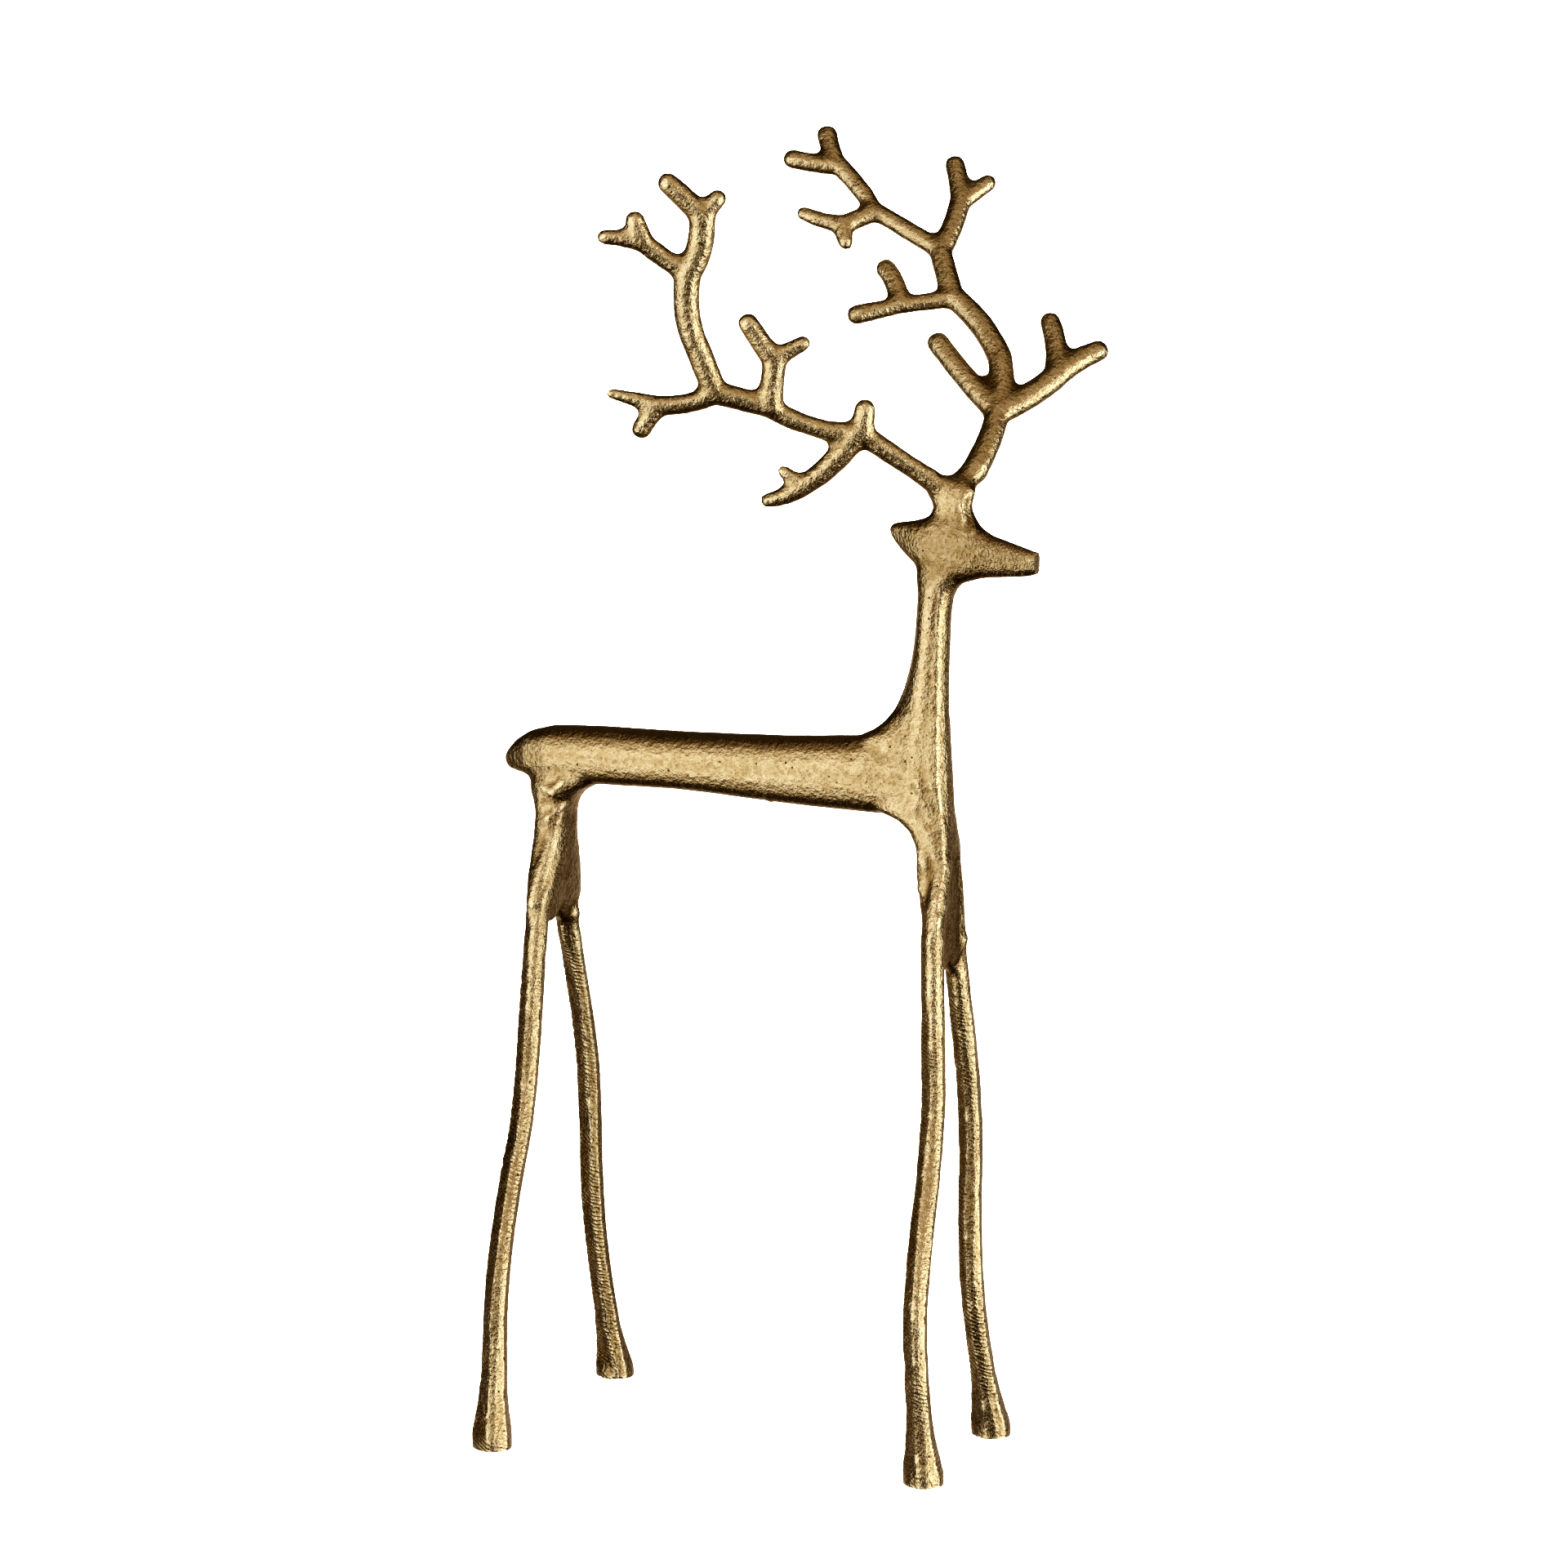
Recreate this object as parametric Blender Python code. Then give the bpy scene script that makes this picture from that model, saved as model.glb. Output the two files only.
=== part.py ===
"""A standing reindeer cast all of one piece in gold-finished metal.

+X is the way the nose points, +Y is the deer's left and +Z is up. The soles lie on z = 0 and the origin
is under the middle of the whole figure. The figure is carved in one go, so its proportions are shares of
its height: the tables below are millimetres on a figure SCALE_BASE millimetres tall.
"""
import math

import bmesh
import bpy
from mathutils import Vector

for old in list(bpy.data.objects):
    bpy.data.objects.remove(old, do_unlink=True)

# Sizes of the figure, in metres.
HEIGHT = 0.508            # floor to the tip of the tallest antler
WHEELBASE = 0.1721        # rear soles to front soles, along the body
REAR_STANCE = 0.1137      # between the middles of the rear soles
FRONT_STANCE = 0.0733     # between the middles of the front soles
BODY_WIDE = 0.0200        # across the barrel
NECK_WIDE = 0.0135        # across the neck
HEAD_WIDE = 0.0137        # across the cheeks
LEG_WIDE = 0.0085         # across a leg at mid height
SOLE_WIDE = 0.0153        # across a flared foot at the floor
SHEET_TURN = math.radians(23.0)    # both antlers face this far round from the flank
NEAR_LEAN = math.radians(8.0)      # right antler, leaned outwards
FAR_LEAN = math.radians(35.0)      # left antler, leaned outwards
TINE_FLAT = 0.90          # thickness of an antler over its width

SCALE_BASE = 504.8
U = HEIGHT / SCALE_BASE
STEP = 6.0                # spacing of an antler's stations
TRUNK_SIDES = 16
TINE_SIDES = 8
BARREL_POWER = 2.7        # squareness of a section: 2 is an ellipse, more is squarer
TINE_POWER = 2.2

# Body and tail, stations along X: x, underside z, back z, share of BODY_WIDE.
BARREL = (
    (-104.5, 259.4, 262.2, 0.10),
    (-102.5, 256.9, 264.6, 0.32),
    (-98.5, 255.9, 268.6, 0.52),
    (-93.0, 254.6, 271.9, 0.78),
    (-84.0, 252.8, 274.2, 0.96),
    (-62.0, 252.7, 274.8, 1.00),
    (-31.0, 252.8, 274.5, 1.00),
    (14.0, 250.1, 275.4, 1.00),
    (41.0, 248.9, 276.9, 1.00),
    (60.0, 248.4, 278.2, 0.98),
    (72.0, 250.5, 277.5, 0.86),
    (78.0, 255.0, 273.0, 0.60),
)
# Neck, breast and front web, stations up Z: z, rear x, front x, width, squareness.
FORE = (
    (188.5, 77.0, 81.4, 14.0, 3.0),
    (194.0, 75.8, 82.4, 22.0, 3.4),
    (200.0, 75.0, 82.8, 25.0, 3.6),
    (209.0, 73.8, 82.8, 26.0, 3.8),
    (221.0, 71.8, 83.0, 23.0, 4.0),
    (232.0, 70.8, 83.0, 20.6, 4.0),
    (237.5, 69.9, 82.9, 20.0, 3.8),
    (243.0, 67.0, 82.4, 19.8, 3.4),
    (247.2, 61.4, 82.0, 19.8, 3.2),
    (250.5, 52.0, 81.8, 19.6, 3.0),
    (262.0, 50.0, 81.3, 19.2, 2.8),
    (274.0, 44.0, 80.8, 18.4, 2.8),
    (277.6, 45.5, 80.5, 17.6, 2.8),
    (280.0, 51.0, 80.3, 16.8, 2.8),
    (283.2, 55.4, 80.2, 16.0, 2.8),
    (288.0, 59.2, 80.0, 15.0, 2.3),
    (295.5, 62.8, 79.8, 14.2, 2.3),
    (304.0, 65.3, 79.9, 13.7, 2.3),
    (314.0, 67.1, 80.2, 13.4, 2.3),
    (325.0, 68.0, 80.6, 13.2, 2.3),
    (331.5, 68.5, 81.6, 13.2, 2.3),
    (335.0, 68.4, 83.5, 13.2, 2.3),
    (338.5, 67.8, 86.6, 13.2, 2.3),
    (344.0, 67.8, 86.0, 12.4, 2.3),
)
# Rump and rear web, stations up Z: z, rear x, front x, width, squareness.
RUMP = (
    (198.5, -87.2, -82.0, 17.0, 2.8),
    (202.0, -88.8, -80.4, 34.0, 3.4),
    (207.0, -89.2, -79.4, 37.0, 3.8),
    (214.0, -89.6, -78.4, 33.0, 4.0),
    (224.0, -89.8, -77.4, 26.0, 3.6),
    (234.0, -89.4, -77.0, 21.8, 3.0),
    (240.0, -89.4, -76.6, 20.4, 2.8),
    (245.6, -90.4, -75.0, 20.0, 2.8),
    (249.4, -91.8, -72.0, 19.8, 3.0),
    (252.4, -92.4, -66.0, 19.6, 2.8),
    (256.0, -92.0, -63.0, 19.0, 2.7),
    (264.0, -88.0, -68.0, 16.0, 2.7),
)
# Head, stations along X: x, jaw z, brow z, share of HEAD_WIDE.
HEAD = (
    (56.8, 355.0, 357.4, 0.16),
    (58.4, 352.2, 358.2, 0.34),
    (62.0, 348.2, 358.7, 0.52),
    (66.2, 344.4, 359.2, 0.72),
    (71.0, 341.0, 360.5, 0.90),
    (76.0, 338.0, 363.2, 1.00),
    (82.0, 336.4, 363.6, 1.00),
    (88.0, 337.4, 361.2, 0.94),
    (92.6, 338.8, 357.4, 0.86),
    (97.0, 339.5, 354.7, 0.78),
    (104.0, 339.9, 352.6, 0.67),
    (110.0, 340.3, 350.7, 0.58),
    (113.9, 340.9, 349.4, 0.52),
    (115.0, 341.7, 348.6, 0.44),
)
# Stem under the antlers, stations up Z: z, rear x, front x, width, squareness.
STEM = (
    (352.0, 70.5, 94.0, 11.0, 2.7),
    (357.6, 71.5, 92.4, 11.2, 2.7),
    (360.4, 73.0, 90.6, 11.0, 2.7),
    (363.4, 74.4, 88.8, 10.6, 2.7),
    (366.6, 74.4, 88.8, 10.4, 2.7),
    (369.6, 72.2, 90.8, 10.4, 2.7),
    (372.4, 72.4, 91.6, 9.8, 2.7),
    (374.6, 75.6, 87.6, 8.4, 2.7),
)

# A leg: side (+1 is the deer's left), half gap of its hip, then how far it bows sideways: one swell from
# hip to sole, one S, and one fine wave. The wider the stance the more the S shows. Last are the ridges
# between the long faces ground on it, in degrees round from the side that the antlers face.
REAR_HIP = 200.0
FRONT_HIP = 200.0
LEGS = (
    ("rear right", -1.0, -1.0, 14.7, 3.2, 4.4, -1.3, (-95.0, -22.0, 14.0, 62.0, 108.0, 160.0, 212.0)),
    ("rear left", -1.0, 1.0, 10.9, 0.0, 4.5, -0.8, (-95.0, -30.0, 50.0, 92.0, 135.0, 180.0, 222.0)),
    ("front right", 1.0, -1.0, 13.3, 4.2, 6.9, -1.3, (-95.0, -22.0, 14.0, 62.0, 108.0, 160.0, 212.0)),
    ("front left", 1.0, 1.0, 9.2, -2.6, 5.5, -1.3, (-88.0, -14.0, 26.0, 70.0, 116.0, 168.0, 220.0)),
)
RIDGE_REACH = 1.08        # a ridge from the leg's middle, over the leg's half width
REAR_HIP_X = -84.5
FRONT_HIP_X = 79.4
# How a leg swells from sole to hip: height, share of the way from LEG_WIDE to SOLE_WIDE.
FLARE = ((0.0, 1.00), (3.0, 0.97), (8.0, 0.72), (14.0, 0.45), (21.0, 0.20), (30.0, 0.06), (40.0, 0.02))

# Antlers, each drawn flat in its own sheet from the root: branches of nodes x, z, half width, and how far
# the arc that arrives at the node bows to its left.
ROOT = (81.0, 370.5)
RIGHT_ANTLER = (
    ((0.0, 0.0, 4.8), (-13.5, 8.6, 3.7, 0.2), (-35.0, 23.2, 3.9, 0.0), (-51.5, 24.9, 3.5, 1.2),
     (-67.4, 31.9, 3.8, 0.6), (-87.4, 37.5, 4.5, -0.4), (-96.3, 59.5, 4.7, 0.0), (-97.5, 82.3, 4.9, 1.3),
     (-92.7, 106.5, 4.8, -2.4)),
    ((-93.2, 104.5, 4.3), (-107.2, 117.8, 3.6, -0.3)),
    ((-92.6, 103.3, 3.9), (-84.6, 112.0, 3.1, 0.0)),
    ((-33.4, 22.0, 4.6), (-31.9, 34.6, 3.4, 0.0)),
    ((-34.9, 22.8, 4.9), (-56.9, 1.3, 3.9, 1.8), (-70.6, -3.4, 2.4, 1.0)),
    ((-53.5, 1.6, 3.4), (-64.2, 9.2, 1.9, 0.0)),
    ((-67.2, 31.5, 4.6), (-65.3, 51.5, 4.3, 0.4)),
    ((-65.4, 49.0, 4.1), (-77.3, 66.6, 3.5, 0.2)),
    ((-65.0, 50.9, 3.6), (-53.1, 57.5, 2.5, 0.0)),
    ((-87.4, 37.5, 3.8), (-109.8, 33.0, 3.5, 1.7), (-127.9, 37.7, 1.6, -0.2)),
    ((-108.8, 33.5, 3.8), (-116.8, 21.4, 3.5, 0.0)),
    ((-97.5, 81.8, 3.6), (-114.6, 94.2, 3.6, 0.2), (-130.5, 95.9, 2.5, -0.4)),
    ((-113.6, 93.6, 3.9), (-117.9, 104.8, 3.2, 0.0)),
)
LEFT_ANTLER = (
    ((0.0, 0.0, 4.8), (8.8, 9.2, 5.0, 0.0), (16.2, 27.0, 4.5, -0.3), (19.4, 41.0, 4.7, 0.0),
     (19.3, 58.5, 4.6, -0.5), (1.8, 86.0, 4.4, -2.0), (-2.8, 108.6, 4.1, 0.2)),
    ((-1.4, 106.4, 3.8), (-27.6, 125.1, 3.3, 0.3), (-42.4, 147.0, 3.6, -0.8), (-46.2, 162.9, 3.9, 0.4)),
    ((-40.9, 145.4, 3.6), (-62.2, 149.5, 3.5, 0.8)),
    ((17.2, 35.0, 4.3), (-5.9, 68.4, 4.0, 0.7)),
    ((17.4, 34.5, 4.8), (42.5, 53.0, 4.8, -1.6), (59.6, 63.0, 3.8, 0.8)),
    ((40.0, 50.5, 4.5), (37.6, 77.7, 3.7, -1.8)),
    ((2.0, 85.0, 3.5), (-18.3, 82.0, 3.1, 0.0), (-38.0, 76.9, 3.8, 0.0)),
    ((-18.3, 81.5, 3.9), (-25.5, 101.1, 3.6, -1.8)),
    ((-2.4, 106.0, 4.0), (5.8, 131.0, 4.0, -0.8)),
    ((5.5, 128.0, 3.9), (3.0, 149.0, 3.7, -0.6)),
    ((6.0, 128.8, 3.5), (18.3, 139.3, 3.1, 0.0)),
    ((-27.6, 124.6, 3.7), (-39.8, 118.4, 3.6, 0.4), (-56.9, 124.6, 2.4, 0.8)),
    ((-40.4, 119.4, 4.3), (-38.3, 107.9, 2.2, 0.0)),
)


def squircle(sides, power):
    """Points round a section one unit wide each way, as shares of its two half widths."""
    points = []
    for i in range(sides):
        turn = 2.0 * math.pi * (i + 0.5) / sides
        c = math.cos(turn)
        s = math.sin(turn)
        points.append((math.copysign(abs(c) ** (2.0 / power), c), math.copysign(abs(s) ** (2.0 / power), s)))
    return points


def eased(rows, longest):
    """The rows with further ones between, on a smooth curve through them, none further apart than longest."""
    full = []
    for i in range(len(rows) - 1):
        before = rows[max(i - 1, 0)]
        a = rows[i]
        b = rows[i + 1]
        after = rows[min(i + 2, len(rows) - 1)]
        count = max(1, math.ceil((b[0] - a[0]) / longest))
        for k in range(count):
            t = k / count
            row = [a[0] + (b[0] - a[0]) * t]
            for j in range(1, len(a)):
                slope_a = 0.5 * (b[j] - before[j])
                slope_b = 0.5 * (after[j] - a[j])
                limit = 1.5 * abs(b[j] - a[j])
                slope_a = max(-limit, min(limit, slope_a))
                slope_b = max(-limit, min(limit, slope_b))
                h = t * t * (3.0 - 2.0 * t)
                row.append(a[j] + (b[j] - a[j]) * h + slope_a * t * (1.0 - t) ** 2 - slope_b * t * t * (1.0 - t))
            full.append(tuple(row))
    full.append(rows[-1])
    return full


def loft(name, rings, collection):
    """A closed body through rings of points, one flat cap at each end."""
    bm = bmesh.new()
    loops = [[bm.verts.new(Vector(point) * U) for point in ring] for ring in rings]
    count = len(loops[0])
    for low, high in zip(loops, loops[1:]):
        for i in range(count):
            j = (i + 1) % count
            bm.faces.new((low[i], low[j], high[j], high[i]))
    bm.faces.new(loops[0])
    bm.faces.new(loops[-1])
    bmesh.ops.recalc_face_normals(bm, faces=bm.faces)
    mesh = bpy.data.meshes.new(name)
    bm.to_mesh(mesh)
    bm.free()
    body = bpy.data.objects.new(name, mesh)
    collection.objects.link(body)
    return body


def along(name, rows, wide, collection):
    """A body whose sections stand across X, from its underside, its back and its share of a width."""
    rings = []
    for x, low, high, share in eased(rows, 16.0):
        ring = []
        for p, q in squircle(TRUNK_SIDES, BARREL_POWER):
            ring.append((x, 0.5 * wide * share * p, 0.5 * (low + high) + 0.5 * (high - low) * q))
        rings.append(ring)
    return loft(name, rings, collection)


def upright(name, rows, factor, collection):
    """A body whose sections lie flat, from its rear, its front and its width."""
    rings = []
    for z, rear, front, wide, power in eased(rows, 9.0):
        ring = []
        for p, q in squircle(TRUNK_SIDES, power):
            ring.append((0.5 * (rear + front) + 0.5 * (front - rear) * p, 0.5 * wide * factor * q, z))
        rings.append(ring)
    return loft(name, rings, collection)


def leg_half_width(z):
    """Half the width of a leg at a height: the sole's flare on top of the plain leg."""
    flare = 0.0
    for (low, a), (high, b) in zip(FLARE, FLARE[1:]):
        if low <= z <= high:
            flare = a + (b - a) * (z - low) / (high - low)
    return 0.5 * (LEG_WIDE + (SOLE_WIDE - LEG_WIDE) * flare) / U


def leg(name, end, side, hip_gap, swell, bend, wave, ridges, collection):
    """One leg, from inside the body down to its flat sole, bowed sideways as it falls."""
    section = []
    for degrees in ridges:
        turn = SHEET_TURN + math.radians(degrees)
        section.append((RIDGE_REACH * math.sin(turn), -RIDGE_REACH * math.cos(turn)))
    hip_z = FRONT_HIP if end > 0 else REAR_HIP
    hip_x = FRONT_HIP_X if end > 0 else REAR_HIP_X
    stance = FRONT_STANCE if end > 0 else REAR_STANCE
    foot_x = 0.5 * end * WHEELBASE / U
    foot_y = 0.5 * side * stance / U
    heights = [h for h, _ in FLARE] + [54.0, 68.0, 82.0, 96.0, 110.0, 124.0, 138.0, 152.0, 166.0, 180.0, 192.0]
    rings = []
    for z in heights + [hip_z, hip_z + 11.0, hip_z + 21.0, hip_z + 32.0]:
        t = 1.0 - z / hip_z
        x = hip_x + (foot_x - hip_x) * max(t, 0.0)
        if t >= 0.0:
            y = side * hip_gap + (foot_y - side * hip_gap) * t
            y += side * swell * math.sin(math.pi * t)
            y += bend * math.sin(2.0 * math.pi * t)
            y += wave * math.sin(4.0 * math.pi * t)
        else:
            y = side * hip_gap * (1.0 - 0.62 * (-t / 0.16) ** 1.4)
        half = leg_half_width(z)
        rings.append([(x + half * p, y + half * q, z) for p, q in section])
    return loft(name, rings, collection)


def branch_stations(nodes):
    """Centre and half width at each station of a branch: arcs between its nodes, a blunt end past the last."""
    stations = [(nodes[0][0], nodes[0][1], nodes[0][2])]
    for a, b in zip(nodes, nodes[1:]):
        dx = b[0] - a[0]
        dz = b[1] - a[1]
        length = math.hypot(dx, dz)
        last = b is nodes[-1]
        reach = 1.0 - (0.7 * b[2] / length if last else 0.0)
        count = max(2, math.ceil(length / STEP))
        for k in range(1, count + 1):
            t = reach * k / count
            bow = 4.0 * b[3] * t * (1.0 - t)
            x = a[0] + dx * t - bow * dz / length
            z = a[1] + dz * t + bow * dx / length
            stations.append((x, z, a[2] + (b[2] - a[2]) * t))
    return stations


def branch(name, nodes, across, up, collection):
    """One branch of an antler: a round bar along its stations, in the sheet that across and up span."""
    stations = branch_stations(nodes)
    out = across.cross(up)
    root = Vector((ROOT[0], 0.0, ROOT[1]))
    rings = []
    for i, (x, z, half) in enumerate(stations):
        ahead = stations[min(i + 1, len(stations) - 1)]
        behind = stations[max(i - 1, 0)]
        run = (across * (ahead[0] - behind[0]) + up * (ahead[1] - behind[1])).normalized()
        side = out.cross(run)
        middle = root + across * x + up * z
        ends = [(0.0, 1.0)]
        if i == len(stations) - 1:
            ends = [(0.0, 1.0), (0.42, 0.82), (0.68, 0.45)]
        for past, share in ends:
            ring = []
            for p, q in squircle(TINE_SIDES, TINE_POWER):
                point = middle + run * (past * half) + side * (share * half * p)
                ring.append(point + out * (share * half * TINE_FLAT * q))
            rings.append(ring)
    return loft(name, rings, collection)


figure = bpy.data.collections.new("reindeer figurine")
bpy.context.scene.collection.children.link(figure)
bench = bpy.data.collections.new("limbs")
bpy.context.scene.collection.children.link(bench)

trunk = along("barrel", BARREL, BODY_WIDE / U, figure)
upright("neck and breast", FORE, NECK_WIDE / U / 13.4, bench)
upright("rump", RUMP, BODY_WIDE / U / 19.8, bench)
along("head", HEAD, HEAD_WIDE / U, bench)
upright("stem", STEM, NECK_WIDE / U / 13.4, bench)
for title, end, side, hip_gap, swell, bend, wave, ridges in LEGS:
    leg(title + " leg", end, side, hip_gap, swell, bend, wave, ridges, bench)
for title, branches, side, lean in (("right", RIGHT_ANTLER, -1.0, NEAR_LEAN), ("left", LEFT_ANTLER, 1.0, FAR_LEAN)):
    across = Vector((math.cos(SHEET_TURN), math.sin(SHEET_TURN), 0.0))
    outward = Vector((-math.sin(SHEET_TURN), math.cos(SHEET_TURN), 0.0)) * side
    rise = Vector((0.0, 0.0, 1.0)) * math.cos(lean) + outward * math.sin(lean)
    for number, nodes in enumerate(branches):
        branch("%s antler %d" % (title, number), nodes, across, rise, bench)

# The limbs are run together with the barrel into one skin, as the metal is.
weld = trunk.modifiers.new("one casting", "BOOLEAN")
weld.operation = "UNION"
weld.operand_type = "COLLECTION"
weld.collection = bench
weld.solver = "EXACT"
graph = bpy.context.evaluated_depsgraph_get()
cast = bpy.data.meshes.new_from_object(trunk.evaluated_get(graph), depsgraph=graph)
cast.name = "reindeer"

bm = bmesh.new()
bm.from_mesh(cast)
bmesh.ops.remove_doubles(bm, verts=bm.verts, dist=0.00001)
bmesh.ops.dissolve_degenerate(bm, edges=bm.edges, dist=0.00001)
bmesh.ops.triangulate(bm, faces=bm.faces, quad_method="BEAUTY", ngon_method="BEAUTY")
low = Vector([min(v.co[k] for v in bm.verts) for k in range(3)])
high = Vector([max(v.co[k] for v in bm.verts) for k in range(3)])
middle = (low + high) * 0.5
for v in bm.verts:
    v.co.x -= middle.x
    v.co.y -= middle.y
bm.to_mesh(cast)
bm.free()
for face in cast.polygons:
    face.use_smooth = True
cast.set_sharp_from_angle(angle=math.radians(38.0))

gold = bpy.data.materials.new("antique gold cast metal")
gold.use_nodes = True
shader = gold.node_tree.nodes["Principled BSDF"]
shader.inputs["Base Color"].default_value = (0.56, 0.42, 0.19, 1.0)
shader.inputs["Metallic"].default_value = 1.0
shader.inputs["Roughness"].default_value = 0.36
cast.materials.clear()
cast.materials.append(gold)

reindeer = bpy.data.objects.new("reindeer", cast)
figure.objects.link(reindeer)
for used in [trunk] + list(bench.objects):
    bpy.data.objects.remove(used, do_unlink=True)
bpy.data.collections.remove(bench)
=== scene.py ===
import math

import bmesh
import bpy
import numpy as np
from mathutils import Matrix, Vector


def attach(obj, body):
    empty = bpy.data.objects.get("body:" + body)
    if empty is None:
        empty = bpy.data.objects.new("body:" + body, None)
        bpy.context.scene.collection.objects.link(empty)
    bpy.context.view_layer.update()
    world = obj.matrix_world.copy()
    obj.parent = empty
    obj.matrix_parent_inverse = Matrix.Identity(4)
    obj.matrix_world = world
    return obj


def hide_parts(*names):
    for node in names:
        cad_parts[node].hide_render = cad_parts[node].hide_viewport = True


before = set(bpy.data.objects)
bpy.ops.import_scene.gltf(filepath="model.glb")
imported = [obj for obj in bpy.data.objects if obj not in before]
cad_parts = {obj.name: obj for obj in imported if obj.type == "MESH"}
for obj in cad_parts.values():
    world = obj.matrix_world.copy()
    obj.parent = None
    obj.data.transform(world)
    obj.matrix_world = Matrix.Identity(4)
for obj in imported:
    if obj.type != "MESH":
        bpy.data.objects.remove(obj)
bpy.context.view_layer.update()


# The reindeer. Body, legs, head and antlers are one pour of aluminium in a sand mould, ground and beaten by
# hand and then gilded. So they share one even net of small faces, made from the solid, with the metal
# drawn into a fillet at every fork.
FACE = 0.0010                          # side of a face of the net
FORK_FILLET = 0.0019                   # radius at the forks of the antlers and round the head
HIP_FILLETS = (0.0023, 0.0007)         # radius where two legs part, at the rump and at the breast
FILLETS_CHANGE = (0.225, 0.295)        # heights between which the one radius goes over into the other
STEM_TOP = (0.0760, -0.0087, 0.3760)   # where the antlers run together on the head
MOLTEN = (0.0055, 0.0115)              # how far from there the metal looks molten, and where that ends
MELT_ROUNDS = 45
EASED_OFF = 0.00034                    # what the easing takes off all round, which is put back

casting = bpy.data.objects.new("reindeer_casting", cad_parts["reindeer"].data.copy())
bpy.context.scene.collection.objects.link(casting)
bm = bmesh.new()
bm.from_mesh(casting.data)
bmesh.ops.remove_doubles(bm, verts=bm.verts, dist=1e-6)
bm.to_mesh(casting.data)
bm.free()


def made_plain(piece):
    """Puts the piece's evaluated mesh in place of its own and takes its modifiers off."""
    graph = bpy.context.evaluated_depsgraph_get()
    mesh = bpy.data.meshes.new_from_object(piece.evaluated_get(graph), depsgraph=graph)
    piece.modifiers.clear()
    piece.data = mesh


def new_skin(piece, side):
    remesh = piece.modifiers.new("skin", "REMESH")
    remesh.mode = "VOXEL"
    remesh.voxel_size = side
    remesh.adaptivity = 0.0
    made_plain(piece)


def read(mesh, what):
    values = np.empty(len(mesh.vertices) * 3, dtype=np.float32)
    mesh.vertices.foreach_get(what, values)
    return values.reshape(-1, 3).astype(float)


def write(mesh, points):
    mesh.vertices.foreach_set("co", points.astype(np.float32).ravel())
    mesh.update()


def step(low, high, x):
    """0 below low, 1 above high and a smooth rise between."""
    t = np.clip((x - low) / (high - low), 0.0, 1.0)
    return t * t * (3.0 - 2.0 * t)


def around(mesh, values):
    """For each point of the net, the mean of the values at the points next to it."""
    ends = np.empty(len(mesh.edges) * 2, dtype=np.int32)
    mesh.edges.foreach_get("vertices", ends)
    a = ends[0::2]
    b = ends[1::2]
    count = len(mesh.vertices)
    links = np.maximum(np.bincount(a, minlength=count) + np.bincount(b, minlength=count), 1)
    columns = []
    for column in values.T:
        columns.append((np.bincount(a, column[b], count) + np.bincount(b, column[a], count)) / links)
    return np.array(columns).T


def eased(mesh, points, rounds, pull):
    """The points after they have been drawn towards their neighbours, then let back out."""
    for turn in range(2 * rounds):
        share = pull if turn % 2 == 0 else -1.04 * pull
        points = points + share * (around(mesh, points) - points)
    return points


new_skin(casting, FACE)
for way in (1.0, -1.0):
    points = read(casting.data, "co")
    parting = np.where(points[:, 0] < 0.0, HIP_FILLETS[0], HIP_FILLETS[1])
    reach = parting + (FORK_FILLET - parting) * step(*FILLETS_CHANGE, points[:, 2])
    write(casting.data, points + way * read(casting.data, "normal") * reach[:, None])
    new_skin(casting, FACE)
points = eased(casting.data, read(casting.data, "co"), 5, 0.55)
molten = 1.0 - step(*MOLTEN, np.linalg.norm(points - np.array(STEM_TOP), axis=1))
for turn in range(MELT_ROUNDS):
    points += 0.5 * molten[:, None] * (around(casting.data, points) - points)
write(casting.data, points)
write(casting.data, points + EASED_OFF * read(casting.data, "normal"))

# The snout is cut off flat.
HEAD_LOW = 0.332
HEAD_HIGH = 0.362
SNOUT_FROM = 0.09         # x
SNOUT_CUT = 0.0016        # how much of the rounded tip the cut takes in
points = read(casting.data, "co")
facing = read(casting.data, "normal")[:, 0]
head_high = (points[:, 2] > HEAD_LOW) & (points[:, 2] < HEAD_HIGH)
snout = head_high & (points[:, 0] > SNOUT_FROM)
snout_end = points[snout, 0].max()
points[snout & (points[:, 0] > snout_end - SNOUT_CUT) & (facing > 0.5), 0] = snout_end - 0.0002
write(casting.data, points)


# The legs' ground faces. Each leg was ground by hand from foot to hip into long flat faces, which wander
# a little and meet in bright ridges; a foot's faces fan out to its flat sole.
VIEW_TURN = math.radians(23.0)     # the side that the ridges are counted from, round from the flank
REACHES = (1.05, 1.09, 1.06, 1.08, 1.06, 1.08, 1.07)   # how far each ridge stands out
FANS = (-4.0, 9.0, -7.0, 6.0, -4.0, 5.0, -5.0)         # degrees that each ridge swings at the sole
FILE_MARKS = (1.0, 0.35, 0.25, 0.5, 0.6, 0.4, 0.7)     # how much of the file each face still shows
# Painted shade on the legs' faces: the faces turned from the light are darkened most.
FACE_PAINTED_SHADE = (0.20, 0.10, 0.0, 0.1, 0.2, 0.3, 0.3)   # how dull each face is
# How much painted shade darkens each leg, by its end, -1 at the rump and 1 at the breast, and its side, -1
# near and 1 far; the far legs, which stand in shade, get the most.
LEG_PAINTED_SHADE = {(-1.0, 1.0): 0.90, (1.0, 1.0): 0.40, (-1.0, -1.0): 0.10, (1.0, -1.0): 0.0}
LEG_TOPS = {-1.0: 0.192, 1.0: 0.184}
LEGS_FROM = 0.05          # x, either way, beyond which there are legs and hips
SOLE_RADIUS = 0.0062      # inside it a point low down belongs to the flat sole
FOOT_FAN = 0.024          # height below which the ridges swing out
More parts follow.
